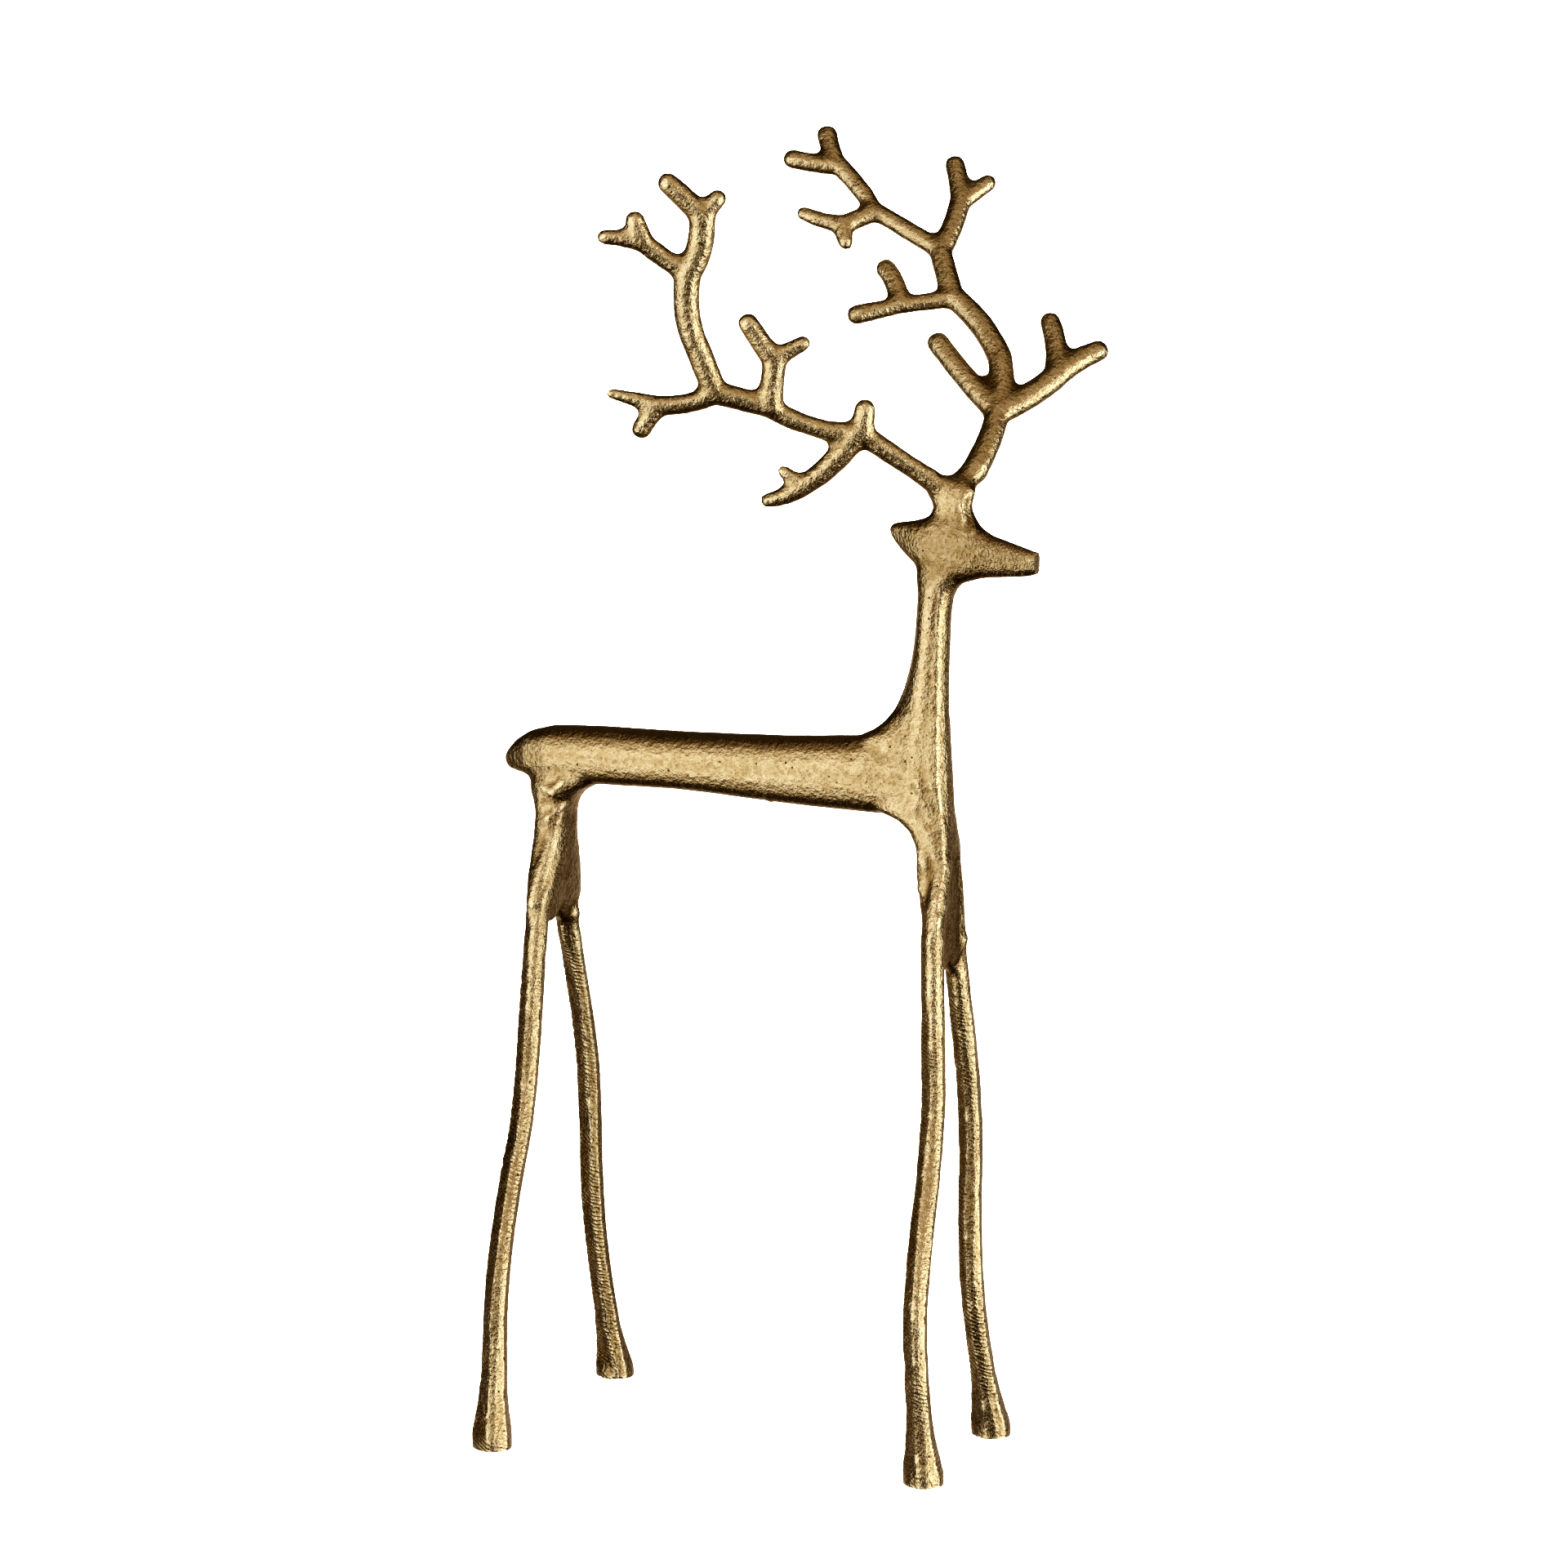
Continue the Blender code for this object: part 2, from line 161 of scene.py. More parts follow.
# Each leg: its end, its side, where its ridges begin to wander, and the ridges' places in degrees.
LEGS = (
    (-1.0, -1.0, 0.3, (-95.0, -16.0, 13.0, 46.0, 104.0, 160.0, 212.0)),
    (-1.0, 1.0, 1.9, (-100.0, -2.0, 45.0, 92.0, 135.0, 180.0, 222.0)),
    (1.0, -1.0, 3.1, (-95.0, -20.0, 12.0, 46.0, 104.0, 160.0, 212.0)),
    (1.0, 1.0, 4.4, (-92.0, -24.0, 12.0, 44.0, 100.0, 165.0, 215.0)),
)
BETWEEN = -0.0090         # y between the legs of a pair
SLICE = 0.002             # height of the level slices that a leg is measured in

points = read(casting.data, "co")
filed = np.zeros(len(points))
# Where shade is painted into the colour, as a share from 0 to 1.
painted_shade = np.zeros(len(points))
for end, side, drift, ridges in LEGS:
    top = LEG_TOPS[end]
    mine = (points[:, 2] < top) & (end * points[:, 0] > LEGS_FROM) & (side * (points[:, 1] - BETWEEN) > 0.0)
    p = points[mine]
    z = p[:, 2]
    slices = np.clip((z / SLICE).astype(int), 0, int(top / SLICE))
    count = np.maximum(np.bincount(slices), 1)
    heights = (np.arange(len(count)) + 0.5) * SLICE
    middle = []
    for k in range(2):
        line = np.bincount(slices, p[:, k]) / count
        line = np.convolve(np.pad(line, 2, mode="edge"), (0.1, 0.2, 0.4, 0.2, 0.1), mode="valid")
        middle.append(np.interp(z, heights, line))
    dx = p[:, 0] - middle[0]
    dy = p[:, 1] - middle[1]
    turn = np.arctan2(dy, dx) + 0.5 * math.pi - VIEW_TURN
    old = np.hypot(dx, dy)
    wall = (z > 0.0005) | (old > SOLE_RADIUS)
    corners = []
    for i, (degrees, share) in enumerate(zip(ridges, REACHES)):
        wander = 4.0 * np.sin(z * 52.0 + drift + 2.1 * i) + 2.2 * np.sin(z * 131.0 + 1.7 * drift + 3.3 * i)
        fan = FANS[i] * np.clip(1.0 - z / FOOT_FAN, 0.0, 1.0) ** 1.5
        stands = share + 0.012 * np.sin(z * 75.0 + 2.9 * i + drift)
        corners.append((np.radians(degrees + wander + fan), stands))
    for angle, share in corners:
        off = (turn - angle + math.pi) % (2.0 * math.pi) - math.pi
        turn = np.where(np.abs(off) * old < 0.42 * FACE, turn - off, turn)
    reach = np.ones(len(p))
    face = np.zeros(len(p), dtype=int)
    for i in range(len(corners)):
        a, ra = corners[i]
        b, rb = corners[(i + 1) % len(corners)]
        span = (b - a) % (2.0 * math.pi)
        part = (turn - a) % (2.0 * math.pi)
        flat = ra * rb * np.sin(span) / (ra * np.sin(part) + rb * np.sin(span - part) + 1e-9)
        inside = part <= span
        reach = np.where(inside, flat, reach)
        face = np.where(inside, i, face)
    reach = 1.0 + (reach - 1.0) * (0.4 + 0.6 * step(0.001, 0.009, z))
    half = np.ones(len(count)) * 0.0043
    for k in range(len(count)):
        here = (slices == k) & wall
        if here.any():
            half[k] = np.median(old[here] / reach[here])
    half = np.convolve(np.pad(half, 1, mode="edge"), (0.25, 0.5, 0.25), mode="valid")
    new = reach * np.interp(z, heights, half)
    weight = np.where(wall, 1.0 - step(top - 0.016, top - 0.002, z), 0.0)
    new = old + (new - old) * weight
    angle = turn - 0.5 * math.pi + VIEW_TURN
    p[:, 0] = middle[0] + new * np.cos(angle)
    p[:, 1] = middle[1] + new * np.sin(angle)
    points[mine] = p
    marks = np.array(FILE_MARKS)[face] * (0.7 + 0.3 * np.sin(z * 60.0 + drift + face))
    filed[mine] = marks * weight
    # Painted shade: the far legs and the faces turned from the light are darkened.
    painted_shade[mine] = np.clip(LEG_PAINTED_SHADE[(end, side)] + np.array(FACE_PAINTED_SHADE)[face], 0.0, 1.0)

# The legs of each pair part in a narrow arch. Each arch: its end, the underside of the metal between the
# legs, half its width and its rise.
ARCHES = ((-1.0, 0.1990, 0.0052, 0.0032), (1.0, 0.1893, 0.0070, 0.0045))
ARCH_Y = -0.0095
ARCH_FADES = 0.012        # height above the underside over which the rise fades out
for end, underside, half, rise in ARCHES:
    above = points[:, 2] - underside
    arch = np.clip(1.0 - np.abs(points[:, 1] - ARCH_Y) / half, 0.0, 1.0) * (end * points[:, 0] > LEGS_FROM)
    arch *= (points[:, 2] > underside - 0.0025) * np.clip(1.0 - above / ARCH_FADES, 0.0, 1.0)
    points[:, 2] += rise * arch

# The ridges are softened a little, but not at the hips and the soles, and the soles are ground flat.
softer = (1.0 - step(0.176, 0.190, points[:, 2])) * step(0.0015, 0.004, points[:, 2])
points += softer[:, None] * (eased(casting.data, points, 2, 0.5) - points)
points[points[:, 2] < 0.0004, 2] = 0.0
write(casting.data, points)


# The ridge down the neck, the breast and into the near foreleg: the front of the neck stands a little
# proud of its sides, with a sharp edge that catches the light. Each row: height, x of the edge, how far it
# stands proud, how wide the hollow behind it is.
EDGE = (
    (0.204, 0.0733, 0.0000, 0.0020),
    (0.213, 0.0717, 0.0006, 0.0022),
    (0.220, 0.0721, 0.0008, 0.0022),
    (0.226, 0.0738, 0.0008, 0.0024),
    (0.234, 0.0749, 0.0008, 0.0026),
    (0.244, 0.0742, 0.0009, 0.0034),
    (0.252, 0.0724, 0.0010, 0.0044),
    (0.262, 0.0698, 0.0010, 0.0052),
    (0.275, 0.0694, 0.0009, 0.0050),
    (0.287, 0.0692, 0.0008, 0.0042),
    (0.300, 0.0690, 0.0006, 0.0030),
    (0.313, 0.0691, 0.0005, 0.0022),
    (0.325, 0.0695, 0.0004, 0.0016),
    (0.335, 0.0704, 0.0003, 0.0014),
    (0.339, 0.0710, 0.0000, 0.0014),
)
MID_Y = -0.0087           # y of the plane down the middle of the body
BEFORE_EDGE = 0.0045      # how far in front of its edge the ridge runs out
NAPE_DEPTH = 0.0016       # how far the sides of the neck fall in behind, along the nape
points = read(casting.data, "co")
normals = read(casting.data, "normal")
table = np.array(EDGE)
z = points[:, 2]
edge_x = np.interp(z, table[:, 0], table[:, 1])
proud = np.interp(z, table[:, 0], table[:, 2])
hollow = np.interp(z, table[:, 0], table[:, 3])
off = points[:, 0] - edge_x
behind = np.clip(1.0 + off / hollow, 0.0, 1.0) ** 1.6
rise = np.where(off < 0.0, behind, np.clip(1.0 - off / BEFORE_EDGE, 0.0, 1.0))
dip = -0.55 * np.exp(-((off + 1.1 * hollow) / (0.7 * hollow)) ** 2)
flank = step(0.35, 0.8, np.abs(normals[:, 1])) * (z > EDGE[0][0]) * (z < EDGE[-1][0])
flank = flank * np.where(points[:, 1] < MID_Y, 1.0, 0.55)
shift = proud * (rise + dip) * flank
nape = step(0.247, 0.275, z) * (1.0 - step(0.328, 0.338, z))
nape = nape * step(0.005, 0.017, -off) * (1.0 - step(0.018, 0.034, -off))
shift -= NAPE_DEPTH * nape * step(0.05, 0.5, np.abs(normals[:, 1]))
points[:, 1] += np.where(points[:, 1] < MID_Y, -1.0, 1.0) * shift
write(casting.data, points)

# Folds and hollows that the metal set into over the hips and on the stem, on the near flank. Each runs from
# x, z to x, z, and then come its half width and its height.
FOLDS = (
    (-0.0958, 0.2537, -0.0895, 0.2509, 0.0013, 0.0005),
    (-0.0895, 0.2509, -0.0861, 0.2550, 0.0012, 0.0005),
    (-0.0938, 0.2476, -0.0865, 0.2476, 0.0016, -0.0005),
    (-0.0870, 0.2457, -0.0917, 0.2408, 0.0011, 0.0007),
    (-0.0841, 0.2440, -0.0879, 0.2395, 0.0011, 0.0007),
    (-0.0893, 0.2432, -0.0868, 0.2395, 0.0009, -0.0004),
    (0.0645, 0.2368, 0.0655, 0.2325, 0.0018, 0.0007),
    (0.0640, 0.2345, 0.0630, 0.2225, 0.0010, 0.0006),
    (0.0675, 0.2335, 0.0680, 0.2205, 0.0020, -0.0006),
    (0.0600, 0.2620, 0.0650, 0.2575, 0.0014, -0.0003),
    (0.0625, 0.2645, 0.0655, 0.2560, 0.0012, 0.0003),
    (0.0665, 0.2610, 0.0690, 0.2540, 0.0014, -0.0003),
    (0.0635, 0.2525, 0.0665, 0.2475, 0.0022, -0.0005),
    (0.0735, 0.2135, 0.0715, 0.2060, 0.0010, 0.0006),
    (0.0782, 0.3705, 0.0789, 0.3618, 0.0007, 0.0006),
    (0.0800, 0.3705, 0.0806, 0.3628, 0.0009, -0.0006),
    (0.0828, 0.3593, 0.0830, 0.3590, 0.0011, 0.0006),
)
FOLD_BOW = 0.0006         # how far a fold bows out of its straight line
points = read(casting.data, "co")
normals = read(casting.data, "normal")
near = (points[:, 1] < MID_Y) * step(0.15, 0.5, -normals[:, 1])
for x1, z1, x2, z2, width, height in FOLDS:
    dx = x2 - x1
    dz = z2 - z1
    along = np.clip(((points[:, 0] - x1) * dx + (points[:, 2] - z1) * dz) / (dx * dx + dz * dz), 0.0, 1.0)
    bow = FOLD_BOW * np.sin(3.0 * along + 900.0 * x1)
    away = np.hypot(points[:, 0] - x1 - along * dx + bow, points[:, 2] - z1 - along * dz)
    points += normals * (height * np.exp(-(away / width) ** 2) * near)[:, None]
write(casting.data, points)

# The long ground faces down the near thigh and the near shoulder: each falls away forwards from a sharp
# ridge at its rear edge. Each is given down its middle by rows of height, x, half width and how far its
# ridge stands up.
GROUND = (
    (
        (0.1990, -0.0957, 0.0013, 0.0000),
        (0.2040, -0.0948, 0.0016, 0.0006),
        (0.2150, -0.0922, 0.0019, 0.0009),
        (0.2260, -0.0895, 0.0019, 0.0009),
        (0.2340, -0.0877, 0.0017, 0.0006),
        (0.2380, -0.0868, 0.0014, 0.0000),
    ),
    (
        (0.1960, 0.0722, 0.0010, 0.0000),
        (0.2060, 0.0719, 0.0012, 0.0004),
        (0.2130, 0.0708, 0.0013, 0.0006),
        (0.2200, 0.0710, 0.0013, 0.0006),
        (0.2260, 0.0727, 0.0013, 0.0006),
        (0.2340, 0.0739, 0.0012, 0.0004),
        (0.2400, 0.0737, 0.0010, 0.0000),
    ),
)
# Across a face, in half widths from its middle, and how much of the ridge's height there is at each.
GROUND_ACROSS = (-2.9, -1.0, 1.0, 1.7)
GROUND_SHARE = (0.0, 1.0, -0.4, 0.0)
FULLY_GROUND = 0.0006     # a ridge this high or higher has a clean bright face beside it
points = read(casting.data, "co")
normals = read(casting.data, "normal")
near = (points[:, 1] < MID_Y) * step(0.05, 0.35, -normals[:, 1])
ground = np.zeros(len(points))
for line in GROUND:
    table = np.array(line)
    z = points[:, 2]
    width = np.interp(z, table[:, 0], table[:, 2])
    proud = np.interp(z, table[:, 0], table[:, 3]) * (points[:, 0] * line[0][1] > 0.0)
    across = (points[:, 0] - np.interp(z, table[:, 0], table[:, 1])) / width
    slope = np.interp(across, GROUND_ACROSS, GROUND_SHARE)
    points += normals * (proud * slope * near)[:, None]
    strip = step(-1.15, -0.85, across) * (1.0 - step(0.85, 1.15, across)) * near
    ground = np.maximum(ground, strip * np.clip(proud / FULLY_GROUND, 0.0, 1.0))
write(casting.data, points)

# Lumps of metal where the far legs leave the body: middle, size, height.
LUMPS = (
    ((-0.0893, 0.0030, 0.2000), 0.0034, 0.0010),
    ((-0.0935, -0.0020, 0.1990), 0.0022, 0.0008),
    ((0.0745, 0.0010, 0.2015), 0.0026, 0.0010),
    ((0.0715, -0.0040, 0.1965), 0.0020, 0.0009),
)
points = read(casting.data, "co")
normals = read(casting.data, "normal")
for middle, size, height in LUMPS:
    away = np.linalg.norm(points - np.array(middle), axis=1)
    points += normals * (height * np.exp(-(away / size) ** 2))[:, None]
write(casting.data, points)


class Wire:
    """One output in a tree of nodes. Sums written on wires add the Math nodes that work them out."""

    def __init__(self, tree, socket):
        self.tree = tree
        self.socket = socket

    def sum(self, operation, *others):
        node = make(self.tree, "ShaderNodeMath", {"operation": operation}, dict(enumerate((self,) + others)))
        return Wire(self.tree, node.outputs[0])

    def __add__(self, other):
        return self.sum("ADD", other)

    def __radd__(self, other):
        return self.sum("ADD", other)

    def __sub__(self, other):
        return self.sum("SUBTRACT", other)

    def __rsub__(self, other):
        return self.sum("MULTIPLY", -1.0) + other

    def __mul__(self, other):
        return self.sum("MULTIPLY", other)

    def __rmul__(self, other):
        return self.sum("MULTIPLY", other)

    def __rtruediv__(self, other):
        node = make(self.tree, "ShaderNodeMath", {"operation": "DIVIDE"}, {0: other, 1: self})
        return Wire(self.tree, node.outputs[0])

    def __pow__(self, other):
        return self.sum("POWER", other)

    def rise(self, low, high):
        """0 below low, 1 above high and a smooth rise between."""
        smooth = {"interpolation_type": "SMOOTHSTEP"}
        node = make(self.tree, "ShaderNodeMapRange", smooth, {0: self, 1: low, 2: high})
        return Wire(self.tree, node.outputs[0])


def make(tree, kind, settings=None, inputs=None):
    """A node of a tree: its settings first, then the value or the wire of each of its sockets."""
    node = tree.nodes.new(kind)
    for name, value in (settings or {}).items():
        setattr(node, name, value)
    for socket, value in (inputs or {}).items():
        if isinstance(value, Wire):
            tree.links.new(value.socket, node.inputs[socket])
        else:
            node.inputs[socket].default_value = value
    return node


def out(tree, kind, which, settings=None, inputs=None):
    """The wire from one output of a new node."""
    return Wire(tree, make(tree, kind, settings, inputs).outputs[which])


# The cast surface: the sand left it uneven, and the grinding and beating of the hips, the legs and the
# forks left shallow dents with soft ridges between them. Attributes say where, the tree says how deep.
DENTED_LEGS = 0.07
DENTED_HIPS = 0.42
DENTED_ANTLERS = 0.28
DENTED_BODY = 0.10


def store(mesh, name, values):
    if name in mesh.attributes:
        mesh.attributes.remove(mesh.attributes[name])
    layer = mesh.attributes.new(name, "FLOAT", "POINT")
    layer.data.foreach_set("value", values.astype(np.float32))


z = read(casting.data, "co")[:, 2]
legs = 1.0 - step(0.185, 0.205, z)
hips = step(0.175, 0.200, z) * (1.0 - step(0.238, 0.252, z))
antlers = step(0.366, 0.376, z)
body = 1.0 - np.maximum(np.maximum(legs, hips), antlers)
dented = DENTED_LEGS * legs + DENTED_HIPS * hips * (1.0 - 0.8 * ground)
dented = dented + DENTED_ANTLERS * antlers + DENTED_BODY * body
off_sole = step(0.0006, 0.0030, z)
store(casting.data, "dented", dented * off_sole)
store(casting.data, "uneven", (0.35 + 0.65 * (antlers + hips).clip(0, 1)) * off_sole)

beaten = bpy.data.node_groups.new("beaten and sand cast", "GeometryNodeTree")
for name, kind, value in (
    ("Geometry", "NodeSocketGeometry", None),
    ("Dent depth", "NodeSocketFloat", 0.0010),
    ("Dent spacing", "NodeSocketFloat", 0.0062),
    ("Unevenness", "NodeSocketFloat", 0.0005),
    ("Unevenness spacing", "NodeSocketFloat", 0.009),
    ("Seed", "NodeSocketFloat", 7.0),
    ("Metal", "NodeSocketMaterial", None),
):
    socket = beaten.interface.new_socket(name, in_out="INPUT", socket_type=kind)
    if value is not None:
        socket.default_value = value
beaten.interface.new_socket("Geometry", in_out="OUTPUT", socket_type="NodeSocketGeometry")
given = beaten.nodes.new("NodeGroupInput")
wires = {socket.name: Wire(beaten, socket) for socket in given.outputs if socket.name}
place = out(beaten, "GeometryNodeInputPosition", 0)
dent_scale = 1.0 / wires["Dent spacing"]
dents = out(beaten, "ShaderNodeTexVoronoi", "Distance", {"voronoi_dimensions": "4D", "feature": "SMOOTH_F1"},
            {"Vector": place, "W": wires["Seed"], "Scale": dent_scale, "Smoothness": 0.12, "Randomness": 1.0})
swell_scale = 1.0 / wires["Unevenness spacing"]
swell = out(beaten, "ShaderNodeTexNoise", 0, {"noise_dimensions": "4D"},
            {"Vector": place, "W": wires["Seed"], "Scale": swell_scale, "Detail": 2.0, "Roughness": 0.55})
where_dented = out(beaten, "GeometryNodeInputNamedAttribute", 0, {"data_type": "FLOAT"}, {"Name": "dented"})
where_uneven = out(beaten, "GeometryNodeInputNamedAttribute", 0, {"data_type": "FLOAT"}, {"Name": "uneven"})
dent_lift = (dents - 0.45) * wires["Dent depth"] * where_dented
lift = dent_lift + (swell - 0.5) * wires["Unevenness"] * where_uneven
normal = out(beaten, "GeometryNodeInputNormal", 0)
shove = out(beaten, "ShaderNodeVectorMath", 0, {"operation": "SCALE"}, {0: normal, "Scale": lift})
moved = out(beaten, "GeometryNodeSetPosition", 0, None, {"Geometry": wires["Geometry"], "Offset": shove})
real = out(beaten, "GeometryNodeRealizeInstances", 0, None, {"Geometry": moved})
dressed = out(beaten, "GeometryNodeSetMaterial", 0, None, {"Geometry": real, "Material": wires["Metal"]})
result = beaten.nodes.new("NodeGroupOutput")
beaten.links.new(dressed.socket, result.inputs["Geometry"])

gold = bpy.data.materials.new("antique gold")
casting.data.materials.clear()
casting.data.materials.append(gold)
relief = casting.modifiers.new("beaten and sand cast", "NODES")
relief.node_group = beaten
for item in beaten.interface.items_tree:
    if item.name == "Metal":
        relief[item.identifier] = gold
made_plain(casting)
points = read(casting.data, "co")
points[points[:, 2] < 0.0003, 2] = 0.0
write(casting.data, points)

# Where the finish wears bright and where it stays dark: the ridges and the hollows of the net itself, the
# rim of the cut snout, and painted shade on the far legs, the brow, the hips and round the knob.
RIDGE_BEND = 0.00009      # how far a point stands over its neighbours where the wear is full
HOLLOW_BEND = 0.00006     # how far it lies below them where the hollow is at its brownest
# How much painted shade darkens the brow, the thighs, the shoulders, the rump and the knob over the far hip,
# where it damps a highlight.
BROW_PAINTED_SHADE = 0.9
THIGH_PAINTED_SHADE = 0.75
SHOULDER_PAINTED_SHADE = 0.60
RUMP_PAINTED_SHADE = 0.45
KNOB_PAINTED_SHADE = 0.9
points = read(casting.data, "co")
normals = read(casting.data, "normal")
bend = ((around(casting.data, points) - points) * normals).sum(axis=1)[:, None]
bend = 0.5 * bend + 0.5 * around(casting.data, bend)
x = points[:, 0]
z = points[:, 2]
rim = (z > HEAD_LOW) * (z < HEAD_HIGH) * (1.0 - step(0.0003, 0.0008, np.abs(x - snout_end + 0.0007)))
worn = np.maximum(np.clip(-bend[:, 0] / RIDGE_BEND, 0.0, 1.0), np.maximum(rim, 0.5 * ground))
store(casting.data, "ridge", worn)
store(casting.data, "hollow", np.clip(bend[:, 0] / HOLLOW_BEND, 0.0, 1.0))
store(casting.data, "filed", filed)
brow = step(0.335, 0.341, z) * (1.0 - step(0.362, 0.368, z))
thigh = step(0.185, 0.200, z) * (1.0 - step(0.236, 0.246, z)) * (x < -LEGS_FROM)
shoulder = step(0.185, 0.200, z) * (1.0 - step(0.232, 0.244, z)) * (x > LEGS_FROM)
rump = (1.0 - step(-0.108, -0.070, x)) * step(0.236, 0.246, z)
knob = np.exp(-(np.linalg.norm(points - np.array(LUMPS[0][0]), axis=1) / 0.006) ** 2)
# Painted shade on the brow, the thighs, the shoulders, the rump and round the far hip's knob; it is kept off
# the ground faces.
painted_shade = np.maximum(painted_shade * (1.0 - step(0.180, 0.192, z)), np.maximum(BROW_PAINTED_SHADE * brow, THIGH_PAINTED_SHADE * thigh))
painted_shade = np.maximum(painted_shade, SHOULDER_PAINTED_SHADE * shoulder)
painted_shade = np.maximum(painted_shade, RUMP_PAINTED_SHADE * rump)
store(casting.data, "painted_shade", np.maximum(painted_shade, KNOB_PAINTED_SHADE * knob) * (1.0 - ground))
head = step(0.338, 0.343, z) * (1.0 - step(0.358, 0.364, z))
muzzle = step(0.078, 0.086, x) * (1.0 - step(0.103, 0.105, x))
ear = 1.0 - step(0.056, 0.063, x)
store(casting.data, "rippled", head * np.clip(muzzle + ear, 0, 1))
for face in casting.data.polygons:
    face.use_smooth = True
casting.data.set_sharp_from_angle(angle=math.radians(34.0))

# The finish: satin antique gold over sand-cast metal, paler and smoother where it is rubbed on the ridges,
# browner in the hollows, with fine grain, pinholes, file marks on the legs and ripples on snout and ear, and
# painted shade in brown on the far legs, the brow, the hips and the knob.
GOLD = (0.70, 0.55, 0.285, 1.0)
PALER_GOLD = (0.82, 0.68, 0.40, 1.0)
RUBBED_GOLD = (0.97, 0.84, 0.52, 1.0)
PEBBLE_BROWN = (0.45, 0.29, 0.09, 1.0)
# The brown of the painted shade.
PAINTED_SHADE_BROWN = (0.40, 0.27, 0.10, 1.0)
MARK_BROWN = (0.40, 0.26, 0.08, 1.0)
HOLLOW_BROWN = (0.34, 0.20, 0.055, 1.0)
PINHOLE_BROWN = (0.20, 0.11, 0.03, 1.0)
# How deep each kind of mark is.
GRAIN_DEPTH = 0.00016
PEBBLE_DEPTH = 0.00050
MOTTLE_DEPTH = 0.00016
PINHOLE_DEPTH = 0.00016
FILE_DEPTH = 0.00036
RIPPLE_DEPTH = 0.00009
gold.use_nodes = True
tree = gold.node_tree
spot = out(tree, "ShaderNodeTexCoord", "Object")


def shade_mask(name):
    return out(tree, "ShaderNodeAttribute", "Fac", {"attribute_name": name, "attribute_type": "GEOMETRY"})


def noise(scale, detail=2.0, rough=0.5):
    return out(tree, "ShaderNodeTexNoise", "Fac", None,
               {"Vector": spot, "Scale": scale, "Detail": detail, "Roughness": rough})


ridge = shade_mask("ridge")
hollow_mask = shade_mask("hollow")
filed_mask = shade_mask("filed")
rippled_mask = shade_mask("rippled")
# Where shade is painted into the colour.
painted_shade_mask = shade_mask("painted_shade")
grain = noise(1150.0, 3.0, 0.6)
pebble = noise(560.0, 3.0, 0.62)
mottle = noise(140.0, 3.0, 0.6)
cells = make(tree, "ShaderNodeTexVoronoi", {"feature": "F1"}, {"Vector": spot, "Scale": 330.0})
pick = out(tree, "ShaderNodeSeparateColor", 0, None, {0: Wire(tree, cells.outputs["Color"])})
pinholes = (1.0 - Wire(tree, cells.outputs["Distance"]).rise(0.06, 0.17)) * pick.rise(0.72, 0.74)
wobble = noise(90.0, 2.0)
high = out(tree, "ShaderNodeSeparateXYZ", 2, None, {0: spot})
long = out(tree, "ShaderNodeSeparateXYZ", 0, None, {0: spot})
ladder = ((high * 3900.0 + long * 1800.0 + wobble * 20.0).sum("SINE") * 0.5 + 0.5) ** 2.0
ladder_where = noise(60.0, 1.0).rise(0.36, 0.56)
ripple = (high * 700.0 + long * 4300.0 + noise(420.0, 2.0) * 15.0).sum("SINE")
ripple = ripple * noise(700.0, 1.0).rise(0.38, 0.56)
height = (grain - 0.5) * GRAIN_DEPTH + (pebble - 0.5) * PEBBLE_DEPTH - pinholes * PINHOLE_DEPTH
height = height + ladder * filed_mask * ladder_where * FILE_DEPTH
height = height + ripple * rippled_mask * RIPPLE_DEPTH + (mottle - 0.5) * MOTTLE_DEPTH
bumped = out(tree, "ShaderNodeBump", "Normal", None, {"Strength": 1.0, "Distance": 1.0, "Height": height})


def blend(share, plain, other):
    return out(tree, "ShaderNodeMix", 2, {"data_type": "RGBA"}, {0: share, 6: plain, 7: other})


colour = blend(mottle.rise(0.30, 0.75), GOLD, PALER_GOLD)
colour = blend((1.0 - pebble.rise(0.34, 0.56)) * 0.50, colour, PEBBLE_BROWN)
colour = blend(grain.rise(0.52, 0.75) * 0.40, colour, RUBBED_GOLD)
# Painted shade: brown laid over the far legs, the brow, the hips and the knob.
colour = blend(painted_shade_mask * (1.2 - pebble) * 0.95, colour, PAINTED_SHADE_BROWN)
colour = blend(filed_mask * ladder_where * (1.0 - ladder.rise(0.1, 0.5)) * 0.6, colour, MARK_BROWN)
colour = blend(ridge * 0.8, colour, RUBBED_GOLD)
colour = blend(hollow_mask * 0.75, colour, HOLLOW_BROWN)
colour = blend(pinholes * 0.8, colour, PINHOLE_BROWN)
shader = tree.nodes["Principled BSDF"]
tree.links.new(colour.socket, shader.inputs["Base Color"])
shader.inputs["Metallic"].default_value = 1.0
rough = 0.18 + (mottle - 0.5) * 0.12 + hollow_mask * 0.12 - ridge * 0.07
tree.links.new(rough.socket, shader.inputs["Roughness"])
tree.links.new(bumped.socket, shader.inputs["Normal"])

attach(casting, "root")
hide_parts("reindeer")


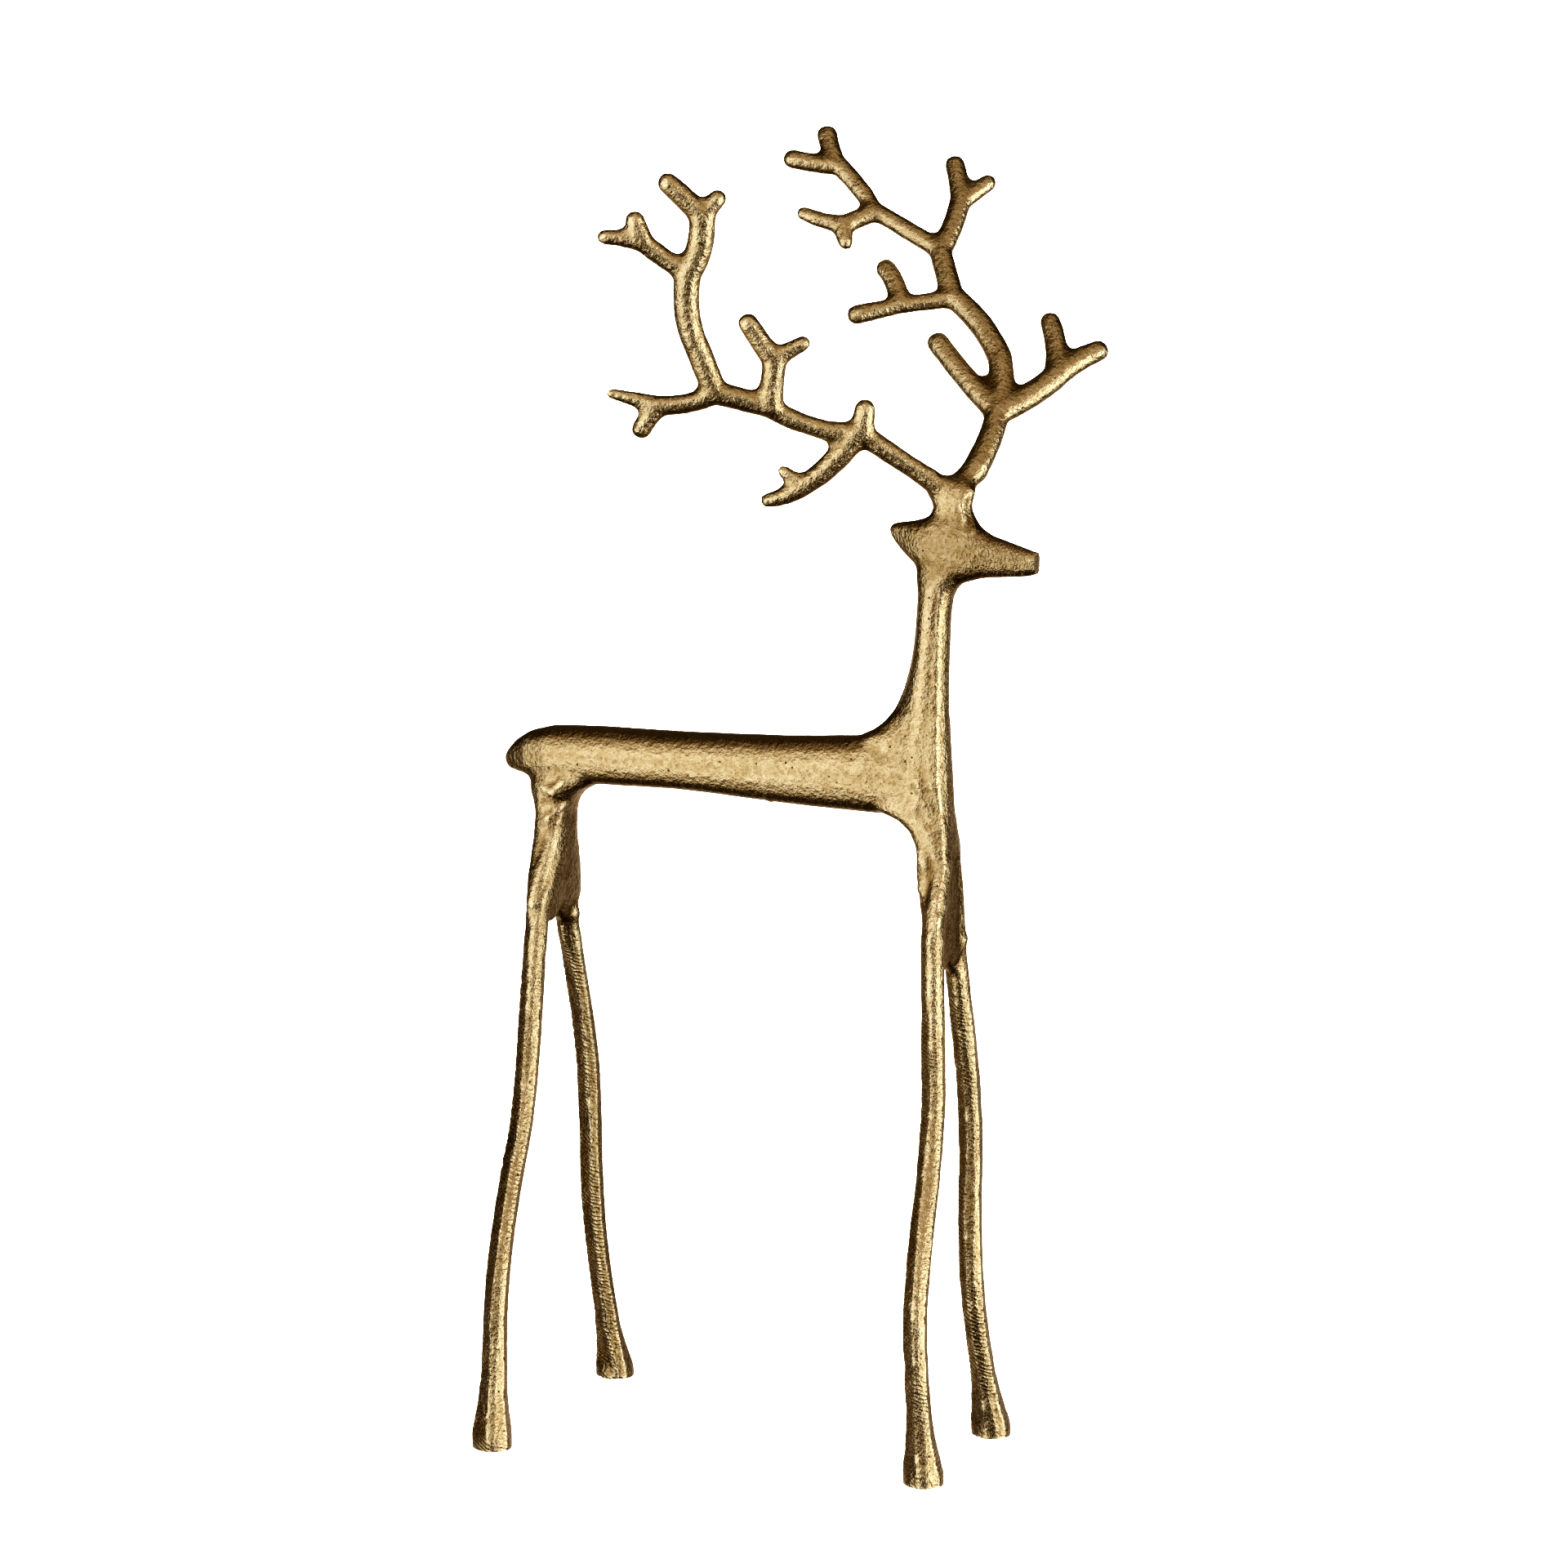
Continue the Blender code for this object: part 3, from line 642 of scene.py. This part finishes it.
# The floor: one wide pale dish, flat under the figure and curving up far away all round. It glows a little,
# so that it stays pale to its edge, and the metal doesn't mirror it.
AROUND = 64               # faces round the dish
FLAT_RADIUS = 5.0
CURVE = 4.0               # radius of the bend up from the floor into the wall
WALL_TOP = 14.0
CURVE_STEPS = 12
FLOOR_GLOW = 0.6
rings = [(2.0, 0.0), (FLAT_RADIUS, 0.0)]
for k in range(1, CURVE_STEPS + 1):
    turn = math.radians(90.0 / CURVE_STEPS * k)
    rings.append((FLAT_RADIUS + CURVE * math.sin(turn), CURVE - CURVE * math.cos(turn)))
rings.append((FLAT_RADIUS + CURVE, WALL_TOP))
verts = [(0.0, 0.0, 0.0)]
for radius, up in rings:
    for k in range(AROUND):
        turn = 2.0 * math.pi * k / AROUND
        verts.append((radius * math.cos(turn), radius * math.sin(turn), up))
faces = []
for k in range(AROUND):
    faces.append((0, 1 + k, 1 + (k + 1) % AROUND))
    for ring in range(len(rings) - 1):
        a = 1 + ring * AROUND + k
        b = 1 + ring * AROUND + (k + 1) % AROUND
        faces.append((a, a + AROUND, b + AROUND, b))
floor_mesh = bpy.data.meshes.new("floor")
floor_mesh.from_pydata(verts, [], faces)
for face in floor_mesh.polygons:
    face.use_smooth = True
floor = bpy.data.objects.new("floor", floor_mesh)
bpy.context.scene.collection.objects.link(floor)
floor.visible_glossy = False
pale = bpy.data.materials.new("pale floor")
pale.use_nodes = True
pale_shader = pale.node_tree.nodes["Principled BSDF"]
pale_shader.inputs["Base Color"].default_value = (0.93, 0.93, 0.93, 1.0)
pale_shader.inputs["Roughness"].default_value = 0.9
pale_shader.inputs["Emission Color"].default_value = (1.0, 1.0, 1.0, 1.0)
pale_shader.inputs["Emission Strength"].default_value = FLOOR_GLOW
pale.cycles.emission_sampling = "NONE"
floor_mesh.materials.append(pale)

# The light: a dim room with tall soft panels to both sides of the camera, brightest low down, a fainter one
# high above the camera and a low one behind the figure. Each panel: its bearing from the flank in degrees,
# how far to each side it is full and where it ends, its strength, where it fades out below and where it is
# full, and how much of it is lost above, from where to where. Heights are shares of straight up.
PANELS = (
    (-28.0, 22.0, 48.0, 0.70, -0.88, -0.38, 0.80, 0.02, 0.80),
    (86.0, 19.0, 40.0, 1.00, -0.92, -0.25, 0.75, 0.00, 0.45),
    (24.0, 14.0, 40.0, 0.38, -0.04, 0.10, 0.15, 0.30, 0.80),
    (203.0, 20.0, 60.0, 0.40, -0.90, -0.40, 0.92, -0.06, 0.12),
)
ROOM_GLOW = 0.026
WARM_ROOM = (1.0, 0.72, 0.42, 1.0)
COOL_PANEL = (1.0, 1.05, 1.22, 1.0)
world = bpy.data.worlds.new("studio")
bpy.context.scene.world = world
world.use_nodes = True
sky = world.node_tree
aim = out(sky, "ShaderNodeTexCoord", "Generated")
level = out(sky, "ShaderNodeVectorMath", 0, {"operation": "MULTIPLY"}, {0: aim, 1: (1.0, 1.0, 0.0)})
level = out(sky, "ShaderNodeVectorMath", 0, {"operation": "NORMALIZE"}, {0: level})
up = out(sky, "ShaderNodeSeparateXYZ", 2, None, {0: aim})
glow = None
for bearing, inner, outer, strength, below, full, lost, start, end in PANELS:
    a = math.radians(bearing)
    facing = out(sky, "ShaderNodeVectorMath", "Value", {"operation": "DOT_PRODUCT"},
                 {0: level, 1: (math.sin(a), -math.cos(a), 0.0)})
    panel = facing.rise(math.cos(math.radians(outer)), math.cos(math.radians(inner))) * strength
    panel = panel * up.rise(below, full) * (1.0 - up.rise(start, end) * lost)
    glow = panel if glow is None else glow + panel
tint = out(sky, "ShaderNodeMix", 2, {"data_type": "RGBA"},
           {0: glow.rise(0.0, 0.8), 6: WARM_ROOM, 7: COOL_PANEL})
background = sky.nodes["Background"]
sky.links.new(tint.socket, background.inputs["Color"])
sky.links.new((glow + ROOM_GLOW).socket, background.inputs["Strength"])

# A panel under the ceiling and a wash on the backdrop light the floor; the metal doesn't mirror them.
CEILING_PLACE = (0.6, -0.8, 3.2)
over = bpy.data.lights.new("ceiling panel", "AREA")
over.energy = 55.0
over.size = 3.0
lamp = bpy.data.objects.new("ceiling panel", over)
bpy.context.scene.collection.objects.link(lamp)
lamp.location = CEILING_PLACE
lamp.rotation_euler = Vector(CEILING_PLACE).to_track_quat("Z", "Y").to_euler()
lamp.visible_glossy = False
wash = bpy.data.lights.new("backdrop wash", "AREA")
wash.energy = 700.0
wash.size = 8.0
lamp = bpy.data.objects.new("backdrop wash", wash)
bpy.context.scene.collection.objects.link(lamp)
lamp.location = (0.0, 3.0, 6.0)
lamp.rotation_euler = (math.radians(35.0), 0.0, 0.0)
lamp.visible_glossy = False

# The camera stands where the photograph was taken from and looks at the middle of the figure.
LOOKS_AT = (0.0041, -0.0087, 0.2585)
lens = bpy.data.cameras.new("camera")
lens.lens = 109.6
lens.sensor_width = 36.0
camera = bpy.data.objects.new("camera", lens)
bpy.context.scene.collection.objects.link(camera)
camera.location = (0.7136, -1.6753, 0.5257)
camera.rotation_euler = (camera.location - Vector(LOOKS_AT)).to_track_quat("Z", "Y").to_euler()
bpy.context.scene.camera = camera
bpy.context.scene.view_settings.view_transform = "Standard"
bpy.context.scene.view_settings.look = "Very High Contrast"
